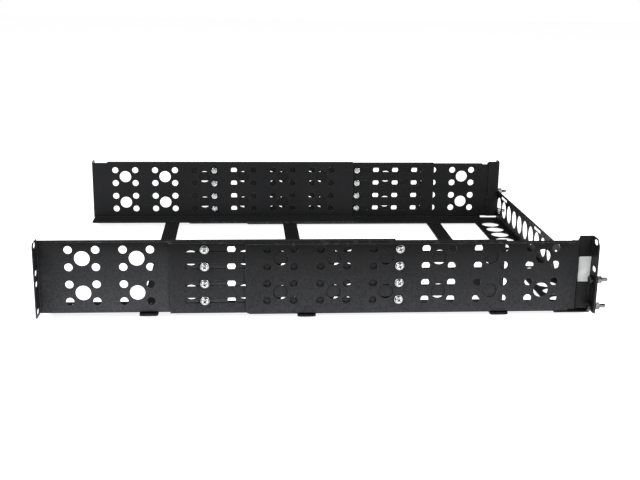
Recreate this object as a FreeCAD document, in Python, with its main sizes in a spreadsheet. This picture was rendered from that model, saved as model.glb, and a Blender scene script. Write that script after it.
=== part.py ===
import FreeCAD, Part
import Sketcher
import os
import re

# Adjustable depth rail pair for a four post rack, two rack units high.
# X runs from the rear rack flange to the front one, Y across the rack, Z up.
# Every piece is drawn in rail coordinates: X = 0 on the rear flange, Z = 0 under the rear section,
# Y = 0 midway between the rails. Each sub-part's Placement then carries it to the part's own frame,
# centred on X and Y and standing on Z = 0.

doc = FreeCAD.newDocument("ServerRailPair")
sheet = doc.addObject("Spreadsheet::Sheet", "Sizes")

sizeRows = [
    # folded sheet
    ("sheetThick", 1.2, "steel sheet of every folded section"),
    ("sheetGap", 0.1, "slip between two nested sections"),
    ("bendInner", 1.0, "inside radius of the bends"),
    ("bayHalf", 221.4, "middle of the rack to the inner face of the rear section"),
    ("ledgeInner", 186, "middle of the rack to the inner edge of the ledges"),
    ("lipDepth", 8, "outward lip along the top of each section"),
    ("webTop", 85.6, "top of the rear section's lip"),
    ("cornerRound", 6, "rounded free corners"),
    # places along the rail
    ("closedLength", 628.6, "rear flange face to front flange face, rails closed"),
    ("rearEnd", 398.6, "inner end of the rear section"),
    ("lipStart", 22, "where the rear section's lip begins"),
    ("plateStart", 145.6, "rear end of the slide plate"),
    ("plateEnd", 525.6, "front end of the slide plate"),
    ("frontStart", 230.2, "rear end of the front section"),
    ("ledgeEnd", 602.6, "front end of the front section's ledge and lip"),
    ("jogStart", 610.6, "where the front section steps in to its ear"),
    ("jogRun", 2, "length of that step"),
    # rack flanges, to the rack hole pattern
    ("flangeOuter", 243.5, "middle of the rack to the flange's free edge"),
    ("flangeLow", 0.5, "bottom of the flanges and ears"),
    ("rearFlangeHigh", 86.6, "top of the rear flange"),
    ("earHigh", 87.5, "top of the ear and front flange"),
    ("frontChamfer", 7, "cut corner at the top of the front flange"),
    ("rearChamfer", 3, "cut corner at the top of the rear flange"),
    ("earCut", 2.5, "cut corner at the bottom of a flange"),
    ("earRise", 3, "run of the slope up to the ear, set over its step"),
    ("rackHoleSide", 232.55, "middle of the rack to the rack holes"),
    ("rackHoleLow", 6.35, "first rack hole above the bottom of its unit"),
    ("rackHoleWide", 31.75, "outer pair of holes in one unit"),
    ("rackUnit", 44.45, "one rack unit"),
    ("rackSlotLong", 12, "rack slots, end to end"),
    ("frontSlotRadius", 3.25, "half their height in the front flange"),
    ("rearSlotRadius", 3.5, "half their height in the rear flange"),
    # perforated webs
    ("rowLow", 14, "lowest row of web holes"),
    ("rowPitch", 20, "between rows"),
    ("columnPitch", 30, "between columns"),
    ("rearColumn", 34.6, "first column of the rear section"),
    ("frontColumn", 254.6, "first column of the front section"),
    ("smallHole", 4.6, "radius of the small web holes"),
    ("largeHole", 8.6, "radius of the holes amid four small ones"),
    # lock screws and the slots they run in
    ("lockHole", 2.65, "radius of the holes for the lock screws"),
    ("slotRadius", 3.2, "half the height of a slide slot"),
    ("slotLift", 0.3, "slide slots above their screws' centres"),
    ("rearPlay", 20, "travel of the rear section over the slide plate"),
    ("frontPlay", 100, "travel of the slide plate in the front section"),
    ("stopMargin", 0.2, "slot end to screw at full travel"),
    # ledge holes and cross bars
    ("ledgeHoleSide", 192, "middle of the rack to the row of ledge holes"),
    ("ledgeHoleFirst", 32.6, "first ledge hole"),
    ("ledgeHolePitch", 44.5, "between ledge holes"),
    ("ledgeHole", 2.1, "radius of a ledge hole"),
    ("barWide", 21, "cross bar"),
    ("barThick", 2, "cross bar"),
    ("barHalf", 228.5, "middle of the rack to a bar's end"),
    # vented front bracket
    ("bracketBack", 587.6, "rear edge of the bracket's floor"),
    ("bracketTop", 41, "top of the bracket's face"),
    ("tabTop", 43.6, "top of its end tabs, bolted to the front flanges"),
    ("tabInner", 225, "middle to the inner edges of those tabs"),
    ("bracketHalf", 243, "middle to the ends of the face"),
    ("bracketFloorHalf", 225.2, "middle to the ends of the floor"),
    ("ventRadius", 13, "round vent"),
    ("ventPitch", 30, "between vents"),
    ("ventHigh", 19.6, "centre of the vents in the face"),
    ("ventBack", 609.1, "centre of the vents in the floor"),
    ("gripPitch", 182, "between the slots over the vents"),
    ("gripHigh", 35.7, "centre of those slots"),
    ("gripRadius", 2.2, "half their height"),
    ("gripRun", 14.3, "half their straight run"),
    # fasteners
    ("lockShank", 2.5, "lock and ear screws"),
    ("lockHead", 4.2, "radius of a lock screw's head"),
    ("earHead", 4.3, "radius of an ear screw's head"),
    ("headHigh", 3, "height of a lock screw's head"),
    ("earHeadHigh", 2.2, "height of an ear screw's head"),
    ("washerRadius", 5.0, "plain washers"),
    ("washerThick", 1, "plain washers"),
    ("springRadius", 4.6, "spring washers under the ear nuts"),
    ("springThick", 1.6, "spring washers, pressed flat"),
    ("nutRound", 4.62, "corner radius of the larger nuts"),
    ("nutHigh", 4, "lock nuts"),
    ("earNutHigh", 4.7, "ear nuts"),
    ("nutProud", 0.6, "thread past a lock nut"),
    ("studReach", 15.8, "ear screws past the front flange's face"),
    ("barShank", 2, "cross bar screws"),
    ("barHead", 3.5, "radius of their heads"),
    ("barHeadHigh", 2.4, "height of their heads"),
    ("boreSlip", 0.05, "bore over shank, on the radius"),
]
for number, (alias, size, note) in enumerate(sizeRows, start=1):
    sheet.set(f"A{number}", alias)
    sheet.set(f"B{number}", str(size))
    sheet.set(f"C{number}", note)
    sheet.setAlias(f"B{number}", alias)
doc.recompute()

# sizes worked out from the sheet, written as expressions
nestStep = "(sheetThick + sheetGap)"
lockRear = "(rearColumn + 5 * columnPitch)"
lockFront = "(frontColumn + 5 * columnPitch)"
frontUnder = f"(2 * {nestStep})"
bracketUnder = f"({frontUnder} + sheetThick)"
holeRows = [f"rowLow + {row} * rowPitch" for row in range(4)]
rackHoles = ["rackHoleLow", "rackHoleLow + rackHoleWide",
             "rackHoleLow + rackUnit", "rackHoleLow + rackUnit + rackHoleWide"]
boltedHoles = rackHoles[:2]


def bound(text):
    # every alias in the text, read from the sheet
    return re.sub(r"[A-Za-z]+", r"Sizes.\g<0>", text)


def measure(text):
    return float(sheet.evalExpression(bound(text)))


def setSize(thing, prop, text):
    thing.setExpression(prop, bound(text))


# ---- sketches, each pinned point by point to the sheet


def newBody(label):
    body = doc.addObject("PartDesign::Body", label)
    body.Label = label
    return body


def originFeature(body, role):
    return next(item for item in body.Origin.OriginFeatures if item.Role == role)


def newSketch(body, name, role, lift="0"):
    sketch = body.newObject("Sketcher::SketchObject", name)
    sketch.AttachmentSupport = [(originFeature(body, role), "")]
    sketch.MapMode = "FlatFace"
    setSize(sketch, "AttachmentOffset.Base.z", lift)
    return sketch


def pin(sketch, geometry, point, x, y):
    for kind, text in (("DistanceX", x), ("DistanceY", y)):
        rule = Sketcher.Constraint(kind, -1, 1, geometry, point, measure(text))
        index = sketch.addConstraint(rule)
        sketch.setExpression(f"Constraints[{index}]", bound(text))


def setRadius(sketch, geometry, radius):
    index = sketch.addConstraint(Sketcher.Constraint("Radius", geometry, measure(radius)))
    sketch.setExpression(f"Constraints[{index}]", bound(radius))


def drawOutline(sketch, corners):
    points = [FreeCAD.Vector(measure(x), measure(y), 0) for x, y in corners]
    first = sketch.GeometryCount
    count = len(points)
    for index, point in enumerate(points):
        sketch.addGeometry(Part.LineSegment(point, points[(index + 1) % count]))
    for index in range(count):
        following = first + (index + 1) % count
        sketch.addConstraint(Sketcher.Constraint("Coincident", first + index, 2, following, 1))
    for index, (x, y) in enumerate(corners):
        pin(sketch, first + index, 1, x, y)


def drawCircle(sketch, x, y, radius):
    centre = FreeCAD.Vector(measure(x), measure(y), 0)
    circle = Part.Circle(centre, FreeCAD.Vector(0, 0, 1), measure(radius))
    geometry = sketch.addGeometry(circle)
    pin(sketch, geometry, 3, x, y)
    setRadius(sketch, geometry, radius)


def drawSlot(sketch, start, end, y, radius):
    # a level slot; start and end are the centres of its round ends
    up = FreeCAD.Vector(0, 0, 1)
    left = FreeCAD.Vector(measure(start), measure(y), 0)
    right = FreeCAD.Vector(measure(end), measure(y), 0)
    rise = FreeCAD.Vector(0, measure(radius), 0)
    quarter = 1.5707963267948966
    leftArc = sketch.addGeometry(Part.ArcOfCircle(Part.Circle(left, up, rise.y), quarter, 3 * quarter))
    rightArc = sketch.addGeometry(Part.ArcOfCircle(Part.Circle(right, up, rise.y), -quarter, quarter))
    lower = sketch.addGeometry(Part.LineSegment(left - rise, right - rise))
    upper = sketch.addGeometry(Part.LineSegment(right + rise, left + rise))
    for joint in ((leftArc, 2, lower, 1), (lower, 2, rightArc, 1),
                  (rightArc, 2, upper, 1), (upper, 2, leftArc, 1)):
        sketch.addConstraint(Sketcher.Constraint("Tangent", *joint))
    pin(sketch, leftArc, 3, start, y)
    pin(sketch, rightArc, 3, end, y)
    setRadius(sketch, leftArc, radius)
    setRadius(sketch, rightArc, radius)


# ---- features


def pad(body, name, sketch, length):
    feature = body.newObject("PartDesign::Pad", name)
    feature.Profile = sketch
    setSize(feature, "Length", length)
    return feature


def cutThrough(body, name, sketch):
    # cuts both ways from the sketch's plane
    doc.recompute()
    before = body.Shape.Volume
    feature = body.newObject("PartDesign::Pocket", name)
    feature.Profile = sketch
    feature.Type = "ThroughAll"
    feature.Midplane = True
    doc.recompute()
    if body.Shape.Volume > before - 0.01:
        raise RuntimeError(f"{name} cut nothing from {body.Label}")
    return feature


def repeat(body, name, feature, role, pitch, count):
    pattern = body.newObject("PartDesign::LinearPattern", name)
    pattern.Originals = [feature]
    pattern.Direction = (originFeature(body, role), [""])
    pattern.Mode = "Spacing"
    setSize(pattern, "Offset", pitch)
    pattern.Occurrences = count
    body.Tip = pattern
    return pattern


def roundEdges(body, name, radius, picked, kind="PartDesign::Fillet", prop="Radius"):
    doc.recompute()
    base = body.Tip
    edges = [f"Edge{index}" for index, edge in enumerate(base.Shape.Edges, start=1) if picked(edge)]
    if not edges:
        raise RuntimeError(f"{name} found no edge on {body.Label}")
    feature = body.newObject(kind, name)
    feature.Base = (base, edges)
    setSize(feature, prop, radius)
    return feature


def edgeAlong(axis, *places):
    # picks straight edges along an axis that pass a place given on the other two axes
    others = [index for index in range(3) if index != axis]
    wanted = [[measure(text) for text in place] for place in places]

    def picked(edge):
        if edge.Curve.TypeId != "Part::GeomLine" or abs(edge.Curve.Direction[axis]) < 0.999:
            return False
        middle = edge.CenterOfMass
        seen = [middle[index] for index in others]
        return any(abs(seen[0] - place[0]) < 0.01 and abs(seen[1] - place[1]) < 0.01 for place in wanted)

    return picked


# ---- folded sections


def foldedSection(label, layer, start, end):
    # web with a ledge turned inwards at the bottom and a lip turned outwards at the top;
    # each layer sits one step further out and one step lower than the one inside it
    body = newBody(label)
    inner = f"bayHalf + {layer} * {nestStep}"
    outer = f"{inner} + sheetThick"
    low = f"-{layer} * {nestStep}"
    top = f"webTop - {layer} * {nestStep}"
    lipOuter = f"bayHalf + sheetThick + lipDepth + {layer} * {nestStep}"
    profile = newSketch(body, label + "_profile", "YZ_Plane", start)
    drawOutline(profile, [("ledgeInner", low), (outer, low), (outer, f"{top} - sheetThick"),
                          (lipOuter, f"{top} - sheetThick"), (lipOuter, top), (inner, top),
                          (inner, f"{low} + sheetThick"), ("ledgeInner", f"{low} + sheetThick")])
    pad(body, label + "_fold", profile, f"{end} - {start}")
    roundEdges(body, label + "_bend_inside", "bendInner",
               edgeAlong(0, (inner, f"{low} + sheetThick"), (outer, f"{top} - sheetThick")))
    roundEdges(body, label + "_bend_outside", "bendInner + sheetThick",
               edgeAlong(0, (outer, low), (inner, top)))
    roundEdges(body, label + "_ledge_corners", "cornerRound",
               edgeAlong(2, (start, "ledgeInner"), (end, "ledgeInner")))
    return body, inner, outer, top


def perforate(body, firstColumn):
    # twelve columns of four holes, with the sixth column drilled for the lock screws,
    # and a large hole amid each group of four
    amidRows = [f"rowLow + {row} * rowPitch" for row in (0.5, 2.5)]
    for name, offset, rows, radius, pitch, count in (
            ("rear_columns", 0, holeRows, "smallHole", "columnPitch", 5),
            ("lock_column", 5, holeRows, "lockHole", "columnPitch", 1),
            ("front_columns", 6, holeRows, "smallHole", "columnPitch", 6),
            ("large_columns", 0.5, amidRows, "largeHole", "2 * columnPitch", 6)):
        sketch = newSketch(body, f"{body.Label}_{name}_outline", "XZ_Plane")
        for row in rows:
            drawCircle(sketch, f"{firstColumn} + {offset} * columnPitch", row, radius)
        column = cutThrough(body, f"{body.Label}_{name}_cut", sketch)
        if count > 1:
            repeat(body, f"{body.Label}_{name}", column, "X_Axis", pitch, count)


def drillLedge(body, firstHole, count):
    sketch = newSketch(body, body.Label + "_ledge_row", "XY_Plane")
    drawCircle(sketch, f"ledgeHoleFirst + {firstHole} * ledgeHolePitch", "ledgeHoleSide", "ledgeHole")
    hole = cutThrough(body, body.Label + "_ledge_hole", sketch)
    repeat(body, body.Label + "_ledge_holes", hole, "X_Axis", "ledgeHolePitch", count)


def rackFlange(body, back, high, chamfer, slotRadius):
    # flat flange turned outwards, with a cut top corner and four rack slots
    label = body.Label
    sketch = newSketch(body, label + "_flange_outline", "YZ_Plane", back)
    drawOutline(sketch, [("bayHalf", "flangeLow"), ("flangeOuter - earCut", "flangeLow"),
                         ("flangeOuter", "flangeLow + earCut"), ("flangeOuter", f"{high} - {chamfer}"),
                         (f"flangeOuter - {chamfer}", high), ("bayHalf", high)])
    for level in rackHoles:
        drawSlot(sketch, f"rackHoleSide - rackSlotLong / 2 + {slotRadius}",
                 f"rackHoleSide + rackSlotLong / 2 - {slotRadius}", level, slotRadius)
    pad(body, label + "_flange", sketch, "sheetThick")


def rearSection(label):
    body, inner, outer, top = foldedSection(label, 0, "sheetThick", "rearEnd")
    notch = newSketch(body, label + "_lip_notch_outline", "XY_Plane")
    drawOutline(notch, [("0", "bayHalf + sheetThick"), ("lipStart", "bayHalf + sheetThick"),
                        ("lipStart + earCut", "flangeOuter"), ("0", "flangeOuter")])
    cutThrough(body, label + "_lip_notch", notch)
    rackFlange(body, "0", "rearFlangeHigh", "rearChamfer", "rearSlotRadius")
    roundEdges(body, label + "_flange_bend", "bendInner",
               edgeAlong(2, ("sheetThick", "bayHalf + sheetThick")))
    perforate(body, "rearColumn")
    drillLedge(body, 0, 9)
    return body


def slidePlate(label):
    body = foldedSection(label, 1, "plateStart", "plateEnd")[0]
    sketch = newSketch(body, label + "_slot_outline", "XZ_Plane")
    for row in holeRows:
        drawSlot(sketch, f"{lockRear} - lockShank - rearPlay - stopMargin + slotRadius",
                 f"{lockFront} + lockShank + frontPlay + stopMargin - slotRadius",
                 f"{row} + slotLift", "slotRadius")
    cutThrough(body, label + "_slots", sketch)
    drillLedge(body, 3, 9)
    return body


def frontSection(label):
    body, inner, outer, top = foldedSection(label, 2, "frontStart", "ledgeEnd")
    # ear: the web goes on, steps in to the rack opening and carries the front flange
    strip = newSketch(body, label + "_ear_plan", "XY_Plane", "flangeLow")
    earInner = "bayHalf"
    earOuter = "bayHalf + sheetThick"
    jogEnd = "jogStart + jogRun"
    drawOutline(strip, [("ledgeEnd", inner), ("jogStart", inner), (jogEnd, earInner),
                        ("closedLength", earInner), ("closedLength", earOuter), (jogEnd, earOuter),
                        ("jogStart", outer), ("ledgeEnd", outer)])
    pad(body, label + "_ear", strip, "earHigh - flangeLow")
    step = newSketch(body, label + "_step_outline", "XZ_Plane")
    drawOutline(step, [("ledgeEnd", top), ("jogStart - earRise / 2", top),
                       ("jogStart + earRise / 2", "earHigh"), ("jogStart + earRise / 2", "earHigh + earCut"),
                       ("ledgeEnd", "earHigh + earCut")])
    cutThrough(body, label + "_step", step)
    rackFlange(body, "closedLength - sheetThick", "earHigh", "frontChamfer", "frontSlotRadius")
    roundEdges(body, label + "_flange_bend", "bendInner",
               edgeAlong(2, ("closedLength - sheetThick", earOuter)))
    corner = newSketch(body, label + "_corner_outline", "XZ_Plane")
    drawOutline(corner, [("frontStart", f"-{frontUnder}"), ("frontStart + cornerRound", f"-{frontUnder}"),
                         ("frontStart + cornerRound * 0.3", f"-{frontUnder} + cornerRound * 0.3"),
                         ("frontStart", f"-{frontUnder} + cornerRound")])
    cutThrough(body, label + "_corner", corner)
    perforate(body, "frontColumn")
    drillLedge(body, 5, 8)
    return body


# ---- pieces that cross the bay


def crossBar(label, holeNumber, under):
    body = newBody(label)
    middle = f"ledgeHoleFirst + {holeNumber} * ledgeHolePitch"
    sketch = newSketch(body, label + "_plan", "XY_Plane", f"-{under} - barThick")
    drawOutline(sketch, [(f"{middle} - barWide / 2", "-barHalf"), (f"{middle} + barWide / 2", "-barHalf"),
                         (f"{middle} + barWide / 2", "barHalf"), (f"{middle} - barWide / 2", "barHalf")])
    for side in ("-", ""):
        drawCircle(sketch, middle, side + "ledgeHoleSide", "ledgeHole")
    pad(body, label + "_strip", sketch, "barThick")
    ends = [(f"{middle} {x} barWide / 2", f"{y}barHalf") for x in "+-" for y in ("", "-")]
    roundEdges(body, label + "_corners", "bendInner * 3", edgeAlong(2, *ends))
    return body


def ventedBracket(label):
    body = newBody(label)
    low = f"-{bracketUnder}"
    front = "closedLength + sheetThick"
    floor = newSketch(body, label + "_floor_plan", "XY_Plane", low)
    drawOutline(floor, [("bracketBack", "-bracketFloorHalf"), (front, "-bracketFloorHalf"),
                        (front, "bracketFloorHalf"), ("bracketBack", "bracketFloorHalf")])
    pad(body, label + "_floor", floor, "sheetThick")
    face = newSketch(body, label + "_face_outline", "YZ_Plane", "closedLength")
    outline = []
    for side in ("-", ""):
        corners = [(f"{side}bracketFloorHalf", low), (f"{side}bracketFloorHalf", "flangeLow"),
                   (f"{side}bracketHalf", "flangeLow"), (f"{side}bracketHalf", "tabTop"),
                   (f"{side}tabInner", "tabTop"), (f"{side}tabInner", "bracketTop")]
        outline += corners if side == "-" else corners[::-1]
    drawOutline(face, outline)
    for side in ("-", ""):
        for level in boltedHoles:
            drawCircle(face, side + "rackHoleSide", level, "lockHole")
    pad(body, label + "_face", face, "sheetThick")
    roundEdges(body, label + "_bend", "bendInner", edgeAlong(1, ("closedLength", f"{low} + sheetThick")))
    roundEdges(body, label + "_bend_outside", "bendInner + sheetThick", edgeAlong(1, (front, low)))
    for name, role, place, count in (("face", "YZ_Plane", ("-7 * ventPitch", "ventHigh"), 15),
                                     ("floor", "XY_Plane", ("ventBack", "-6 * ventPitch"), 13)):
        sketch = newSketch(body, f"{label}_{name}_vent_outline", role)
        drawCircle(sketch, *place, "ventRadius")
        vent = cutThrough(body, f"{label}_{name}_vent", sketch)
        repeat(body, f"{label}_{name}_vents", vent, "Y_Axis", "ventPitch", count)
    grip = newSketch(body, label + "_grip_outline", "YZ_Plane")
    drawSlot(grip, "-gripPitch - gripRun", "-gripPitch + gripRun", "gripHigh", "gripRadius")
    slot = cutThrough(body, label + "_grip", grip)
    repeat(body, label + "_grips", slot, "Y_Axis", "gripPitch", 3)
    return body


# ---- fasteners: each is built along its own Z, then turned and set in place

turns = {
    "out": FreeCAD.Rotation(FreeCAD.Vector(1, 0, 0), -90),
    "back": FreeCAD.Rotation(FreeCAD.Vector(0, 1, 0), -90),
    "forward": FreeCAD.Rotation(FreeCAD.Vector(0, 1, 0), 90),
    "down": FreeCAD.Rotation(FreeCAD.Vector(1, 0, 0), 180),
}


def cylinder(name, radius, height, low="0"):
    solid = doc.addObject("Part::Cylinder", name)
    setSize(solid, "Radius", radius)
    setSize(solid, "Height", height)
    setSize(solid, "Placement.Base.z", low)
    return solid


def screw(name, headRadius, headHigh, shank, run):
    # pan head above Z = 0, shank below it
    rim = cylinder(name + "_rim", headRadius, f"{headHigh} * 0.45")
    crown = doc.addObject("Part::Cone", name + "_crown")
    setSize(crown, "Radius1", headRadius)
    setSize(crown, "Radius2", f"{headRadius} * 0.7")
    setSize(crown, "Height", f"{headHigh} * 0.55")
    setSize(crown, "Placement.Base.z", f"{headHigh} * 0.45")
    stem = cylinder(name + "_stem", shank, run, f"-({run})")
    fused = doc.addObject("Part::MultiFuse", name)
    fused.Shapes = [rim, crown, stem]
    return fused


def bored(name, blank, shank, height):
    bore = cylinder(name + "_bore", f"{shank} + boreSlip", height)
    ringed = doc.addObject("Part::Cut", name)
    ringed.Base = blank
    ringed.Tool = bore
    return ringed


def washer(name, radius, thick, shank):
    return bored(name, cylinder(name + "_disc", radius, thick), shank, thick)


def nut(name, cornerRadius, height, shank):
    prism = doc.addObject("Part::Prism", name + "_prism")
    prism.Polygon = 6
    setSize(prism, "Circumradius", cornerRadius)
    setSize(prism, "Height", height)
    return bored(name, prism, shank, height)


def fastenerGroup(label, make, turn, places):
    # separate solids in one sub-part
    pieces = []
    for number, place in enumerate(places, start=1):
        piece = make(f"{label}_{number}")
        piece.Placement = FreeCAD.Placement(FreeCAD.Vector(), turns[turn])
        for axis, text in zip("xyz", place):
            setSize(piece, f"Placement.Base.{axis}", text)
        pieces.append(piece)
    group = doc.addObject("Part::Compound", label)
    group.Label = label
    group.Links = pieces
    return group


def lockFasteners(end, column, innerLayer, outerLayer):
    # head and washer outside the outer sheet, nut inside the inner one
    outside = f"bayHalf + {outerLayer} * {nestStep} + sheetThick"
    inside = f"bayHalf + {innerLayer} * {nestStep}"
    shankRun = f"washerThick + ({outside}) - ({inside}) + nutHigh + nutProud"
    return [
        fastenerGroup(f"right_{end}_lock_screws",
                      lambda name: screw(name, "lockHead", "headHigh", "lockShank", shankRun),
                      "out", [(column, f"{outside} + washerThick", row) for row in holeRows]),
        fastenerGroup(f"right_{end}_lock_washers",
                      lambda name: washer(name, "washerRadius", "washerThick", "lockShank"),
                      "out", [(column, outside, row) for row in holeRows]),
        fastenerGroup(f"right_{end}_lock_nuts",
                      lambda name: nut(name, "nutRound", "nutHigh", "lockShank"),
                      "out", [(column, f"{inside} - nutHigh", row) for row in holeRows]),
    ]


def earFasteners():
    # head behind the flange; plain washer, spring washer and nut in front of the bracket
    back = "closedLength - sheetThick"
    front = "closedLength + sheetThick"
    places = {name: [(x, "rackHoleSide", level) for level in boltedHoles]
              for name, x in (("screws", back), ("washers", front), ("springs", f"{front} + washerThick"),
                              ("nuts", f"{front} + washerThick + springThick"))}
    return [
        fastenerGroup("right_ear_screws",
                      lambda name: screw(name, "earHead", "earHeadHigh", "lockShank",
                                         "sheetThick + studReach"),
                      "back", places["screws"]),
        fastenerGroup("right_ear_washers",
                      lambda name: washer(name, "washerRadius", "washerThick", "lockShank"),
                      "forward", places["washers"]),
        fastenerGroup("right_ear_spring_washers",
                      lambda name: washer(name, "springRadius", "springThick", "lockShank"),
                      "forward", places["springs"]),
        fastenerGroup("right_ear_nuts",
                      lambda name: nut(name, "nutRound", "earNutHigh", "lockShank"),
                      "forward", places["nuts"]),
    ]


def barFasteners(label, holeNumber, under):
    # put in from below, with their ends flush with the ledge's top
    middle = f"ledgeHoleFirst + {holeNumber} * ledgeHolePitch"
    places = [(middle, side + "ledgeHoleSide", f"-{under} - barThick") for side in ("-", "")]
    return fastenerGroup(
        label.replace("cross_bar", "bar_screws"),
        lambda name: screw(name, "barHead", "barHeadHigh", "barShank", "barThick + sheetThick"),
        "down", places)


# ---- the assembly

bars = [("rear_cross_bar", 2, "0"), ("middle_cross_bar", 6, frontUnder), ("front_cross_bar", 11, frontUnder)]
rightParts = [rearSection("right_rear_section"), slidePlate("right_slide_plate"),
              frontSection("right_front_section")]
rightParts += lockFasteners("rear", lockRear, 0, 1)
rightParts += lockFasteners("front", lockFront, 1, 2)
rightParts += earFasteners()
sharedParts = [ventedBracket("front_bracket")]
for bar in bars:
    sharedParts += [crossBar(*bar), barFasteners(*bar)]

for part in rightParts + sharedParts:
    setSize(part, "Placement.Base.x", "-(closedLength + studReach) / 2")
    setSize(part, "Placement.Base.z", f"{frontUnder} + barThick + barHeadHigh")
doc.recompute()

leftParts = []
for part in rightParts:
    mirrored = doc.addObject("Part::Mirroring", part.Label.replace("right_", "left_"))
    mirrored.Label = part.Label.replace("right_", "left_")
    mirrored.Source = part
    mirrored.Normal = FreeCAD.Vector(0, 1, 0)
    leftParts.append(mirrored)
doc.recompute()

faults = [item.Name for item in doc.Objects if {"Invalid", "Error"} & set(item.State)]
subParts = rightParts + leftParts + sharedParts
faults += [part.Label for part in subParts if part.Shape.isNull() or not part.Shape.isValid()]
if faults:
    raise RuntimeError("failed: " + ", ".join(faults))

os.makedirs("parts", exist_ok=True)
for part in subParts:
    part.Shape.exportStep(f"parts/{part.Label}.step")
    print(part.Label, len(part.Shape.Solids), "solids", round(part.Shape.Volume), "mm3")
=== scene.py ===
import bpy
import bmesh
import math
import random
from mathutils import Matrix, Vector


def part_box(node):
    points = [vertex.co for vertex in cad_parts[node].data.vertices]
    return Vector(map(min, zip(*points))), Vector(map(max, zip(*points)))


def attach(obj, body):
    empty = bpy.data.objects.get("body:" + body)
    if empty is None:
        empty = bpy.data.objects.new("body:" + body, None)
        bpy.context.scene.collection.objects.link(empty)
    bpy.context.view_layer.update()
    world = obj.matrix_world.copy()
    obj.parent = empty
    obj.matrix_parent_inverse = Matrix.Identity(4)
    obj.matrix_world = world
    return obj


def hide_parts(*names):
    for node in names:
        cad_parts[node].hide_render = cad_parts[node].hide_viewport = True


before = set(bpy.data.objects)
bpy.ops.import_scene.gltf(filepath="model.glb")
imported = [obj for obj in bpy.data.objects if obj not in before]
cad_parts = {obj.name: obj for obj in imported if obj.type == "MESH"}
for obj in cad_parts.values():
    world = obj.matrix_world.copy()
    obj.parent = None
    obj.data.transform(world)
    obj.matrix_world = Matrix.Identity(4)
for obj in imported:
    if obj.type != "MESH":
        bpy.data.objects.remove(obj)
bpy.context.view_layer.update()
print("frame loaded:", len(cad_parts), "nodes")


def addNode(tree, kind, place=(0, 0), **values):
    node = tree.nodes.new(kind)
    node.location = place
    for name, value in values.items():
        setattr(node, name, value)
    return node


def join(tree, source, target):
    tree.links.new(source, target)


def feed(tree, value, socket):
    # numbers and colours go straight on the socket, anything else is a link
    if isinstance(value, (int, float)):
        socket.default_value = value
    elif isinstance(value, tuple):
        socket.default_value = (*value, 1)
    else:
        join(tree, value, socket)


def newGroup(name, inputs, outputs):
    # inputs: names with their defaults; outputs: names; all of them plain numbers
    group = bpy.data.node_groups.new(name, "ShaderNodeTree")
    for label, default in inputs.items():
        socket = group.interface.new_socket(name=label, in_out="INPUT", socket_type="NodeSocketFloat")
        socket.default_value = default
    for label in outputs:
        group.interface.new_socket(name=label, in_out="OUTPUT", socket_type="NodeSocketFloat")
    start = addNode(group, "NodeGroupInput", (-900, 0))
    end = addNode(group, "NodeGroupOutput", (900, 0))
    return group, start, end


def useGroup(tree, group, place, **values):
    node = addNode(tree, "ShaderNodeGroup", place, node_tree=group)
    for name, value in values.items():
        node.inputs[name].default_value = value
    return node


def mathNode(tree, operation, values, place, clamp=False):
    node = addNode(tree, "ShaderNodeMath", place, operation=operation, use_clamp=clamp)
    for index, value in enumerate(values):
        feed(tree, value, node.inputs[index])
    return node.outputs[0]


def remap(tree, value, span, place, into=(0.0, 1.0)):
    node = addNode(tree, "ShaderNodeMapRange", place)
    join(tree, value, node.inputs["Value"])
    for name, number in zip(("From Min", "From Max", "To Min", "To Max"), (*span, *into)):
        feed(tree, number, node.inputs[name])
    return node.outputs["Result"]


def blendColours(tree, mask, first, second, place):
    node = addNode(tree, "ShaderNodeMix", place, data_type="RGBA")
    join(tree, mask, node.inputs["Factor"])
    for name, value in (("A", first), ("B", second)):
        socket = next(item for item in node.inputs if item.name == name and item.type == "RGBA")
        feed(tree, value, socket)
    return next(item for item in node.outputs if item.type == "RGBA")


def objectPlace(tree, place):
    return addNode(tree, "ShaderNodeTexCoord", place).outputs["Object"]


def stretched(tree, vector, place, scale, turn=(0, 0, 0)):
    node = addNode(tree, "ShaderNodeMapping", place)
    node.inputs["Scale"].default_value = scale
    node.inputs["Rotation"].default_value = turn
    join(tree, vector, node.inputs["Vector"])
    return node.outputs["Vector"]


def scaleOf(tree, size, place):
    # a texture's scale from the size of its features in metres
    return mathNode(tree, "DIVIDE", (1, size), place)


def noiseAt(tree, vector, scale, detail, place):
    node = addNode(tree, "ShaderNodeTexNoise", place)
    node.inputs["Detail"].default_value = detail
    join(tree, vector, node.inputs["Vector"])
    feed(tree, scale, node.inputs["Scale"])
    return node.outputs["Fac"]


grainSettings = {
    "sizes": {"Grain Size": 0.0005, "Peel Size": 0.003},
    "peelShare": 0.6, "speckReach": 0.22, "clumpsPerPeel": 1.35, "clumpSpan": (0.42, 0.72),
}


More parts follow.
